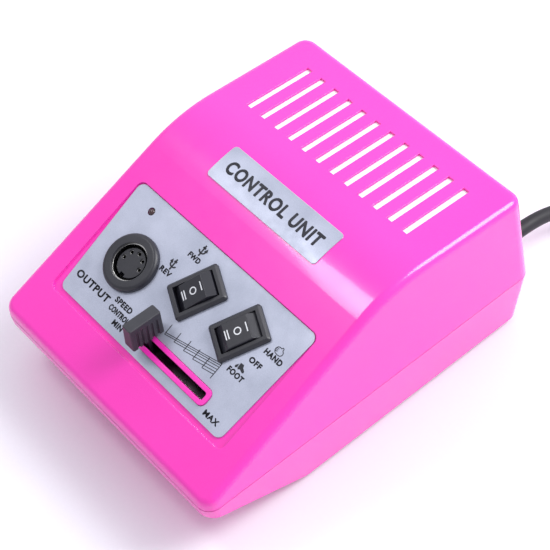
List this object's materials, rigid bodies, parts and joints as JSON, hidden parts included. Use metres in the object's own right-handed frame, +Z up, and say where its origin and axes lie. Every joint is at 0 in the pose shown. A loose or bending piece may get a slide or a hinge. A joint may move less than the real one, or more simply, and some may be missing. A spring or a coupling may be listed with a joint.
{
  "type": "nail drill control box",
  "caption": "Mains control box of a nail drill: sloping panel with round socket, two rocker switches and a speed slider, vented top, rear fuse and cord.",
  "frame": {"origin": "on the desk under the middle of the box, rear fittings counted, mains cord left out", "axes": "+X to the user's right, -Y the front with the sloping panel, +Z up"},
  "size_m": [0.1307, 0.3862, 0.0742],
  "materials": {
    "aluminium": "black anodised fins left natural",
    "black_plastic": "satin black",
    "black_rubber": "matt black",
    "board_green": "solder mask",
    "brass": "bright contact brass",
    "can_sleeve": "dark blue sleeve",
    "clear_glass": "fuse tube",
    "filter_fibre": "white non-woven",
    "grey_plastic": "dark grey, fine texture",
    "lamination": "varnished laminated steel",
    "nickel": "nickel plated",
    "phenolic": "brown laminate",
    "pink_gloss": "moulded gloss pink plastic",
    "red_lens": "tinted lamp body",
    "silver_plate": "fine brushed, printed",
    "steel": "zinc plated",
    "winding_tape": "yellow polyester tape"
  },
  "bodies": {
    "case": {"base_shell": "pink_gloss", "board_screws": "steel", "capacitors": "can_sleeve", "case_screws": "steel", "circuit_board": "board_green", "cord_strain_relief": "black_rubber", "direction_switch_housing": "black_plastic", "direction_switch_terminals": "brass", "dust_filter": "filter_fibre", "face_plate": "silver_plate", "foot_front_left": "black_rubber", "foot_front_right": "black_rubber", "foot_rear_left": "black_rubber", "foot_rear_right": "black_rubber", "fuse_holder_body": "black_plastic", "fuse_holder_nut": "black_plastic", "heat_sink": "aluminium", "lamp_holder": "black_plastic", "mode_switch_housing": "black_plastic", "mode_switch_terminals": "brass", "name_plate": "silver_plate", "output_socket_contacts": "nickel", "output_socket_flange": "black_plastic", "output_socket_insert": "black_plastic", "output_socket_nut": "steel", "output_socket_shell": "nickel", "pedal_jack_body": "black_plastic", "pedal_jack_nut": "steel", "plug_body": "black_plastic", "plug_pins": "nickel", "power_cord": "black_rubber", "power_cord_coil": "black_rubber", "power_cord_end": "black_rubber", "power_lamp": "red_lens", "rectifier": "black_plastic", "regulator": "black_plastic", "regulator_screw": "steel", "speed_pot_frame": "steel", "speed_pot_track": "phenolic", "transformer_bracket": "steel", "transformer_core": "lamination", "transformer_screws": "steel", "transformer_winding": "winding_tape", "upper_shell": "pink_gloss"},
    "direction_rocker": {"direction_switch_rocker": "black_plastic", "direction_switch_plunger": "brass", "direction_switch_spring": "steel"},
    "direction_blade": {"direction_switch_blade": "brass"},
    "mode_rocker": {"mode_switch_rocker": "black_plastic", "mode_switch_plunger": "brass", "mode_switch_spring": "steel"},
    "mode_blade": {"mode_switch_blade": "brass"},
    "speed_slider": {"speed_pot_carriage": "black_plastic", "speed_knob": "grey_plastic"},
    "fuse_carrier": {"fuse_link": "clear_glass"},
    "fuse_cap": {"fuse_cap": "black_plastic"}
  },
  "joints": [
    {"name": "direction_rocker_tilt", "type": "hinge", "parent": "case", "child": "direction_rocker", "pos_m": [0.0011, -0.03756, 0.05372], "axis": [-0.8829, 0.4223, 0.2051], "range_deg": [0, 22]},
    {"name": "direction_blade_tilt", "type": "hinge", "parent": "case", "child": "direction_blade", "pos_m": [0.0011, -0.03367, 0.04572], "axis": [-0.8829, 0.4223, 0.2051], "range_deg": [-11, 0]},
    {"name": "mode_rocker_tilt", "type": "hinge", "parent": "case", "child": "mode_rocker", "pos_m": [0.0256, -0.03801, 0.0535], "axis": [-0.8829, 0.4223, 0.2051], "range_deg": [-11, 11]},
    {"name": "mode_blade_tilt", "type": "hinge", "parent": "case", "child": "mode_blade", "pos_m": [0.0256, -0.03412, 0.0455], "axis": [-0.8829, 0.4223, 0.2051], "range_deg": [-5.5, 5.5]},
    {"name": "speed_slide", "type": "slide", "parent": "case", "child": "speed_slider", "axis": [1, 0, 0], "range_m": [0, 0.03]},
    {"name": "fuse_pull", "type": "slide", "parent": "case", "child": "fuse_carrier", "axis": [0, 1, 0], "range_m": [0, 0.032]},
    {"name": "fuse_cap_turn", "type": "hinge", "parent": "fuse_carrier", "child": "fuse_cap", "pos_m": [-0.036, 0.07275, 0.0155], "axis": [0, 1, 0], "range_deg": [0, 90]}
  ],
  "couplings": [
    {"joint": "direction_blade_tilt", "follows": "direction_rocker_tilt", "ratio": -0.5},
    {"joint": "mode_blade_tilt", "follows": "mode_rocker_tilt", "ratio": -0.5}
  ]
}
